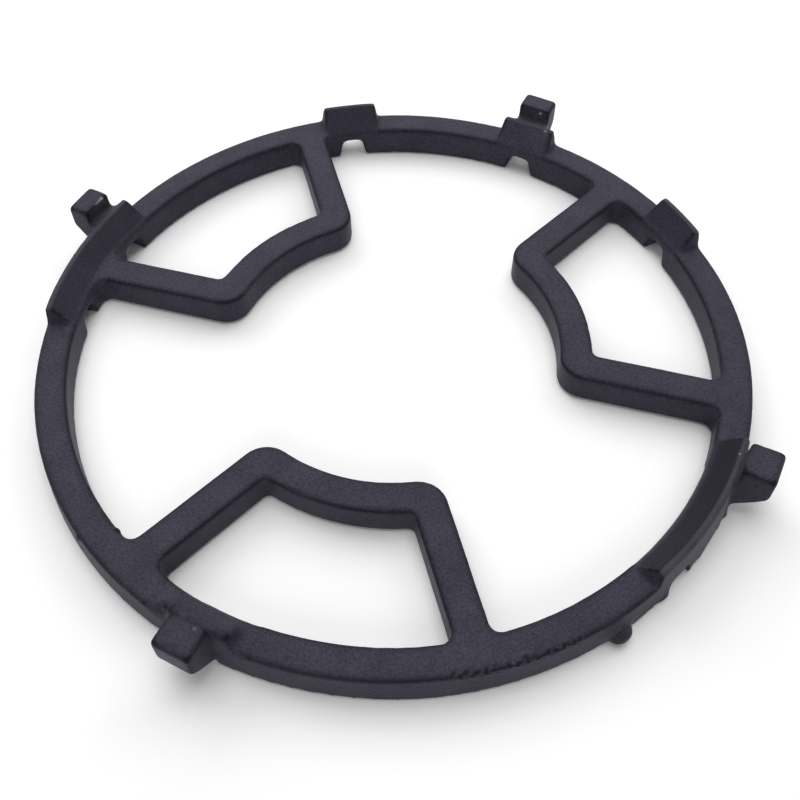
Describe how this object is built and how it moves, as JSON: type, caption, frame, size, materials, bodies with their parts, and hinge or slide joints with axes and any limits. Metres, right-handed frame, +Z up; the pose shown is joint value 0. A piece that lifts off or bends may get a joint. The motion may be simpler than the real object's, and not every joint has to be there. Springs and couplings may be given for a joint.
{
  "type": "hob pan support",
  "caption": "Cast-iron ring with open loops reaching inwards and raised sloped pads that steadies a small pan or wok on a gas hob; notches in its foot sit on the grate's fingers",
  "frame": {"origin": "on the ring's axis, in the plane of its foot", "axes": "+Z up; +X, +Y, -X and -Y run through the four lugs, -Y through the lug whose notch serves both layouts of fingers"},
  "size_m": [0.2372, 0.2372, 0.0206],
  "materials": {
    "cast_iron": "matte black, fine cast grain"
  },
  "bodies": {
    "root": {"pan_support": "cast_iron"}
  },
  "joints": []
}
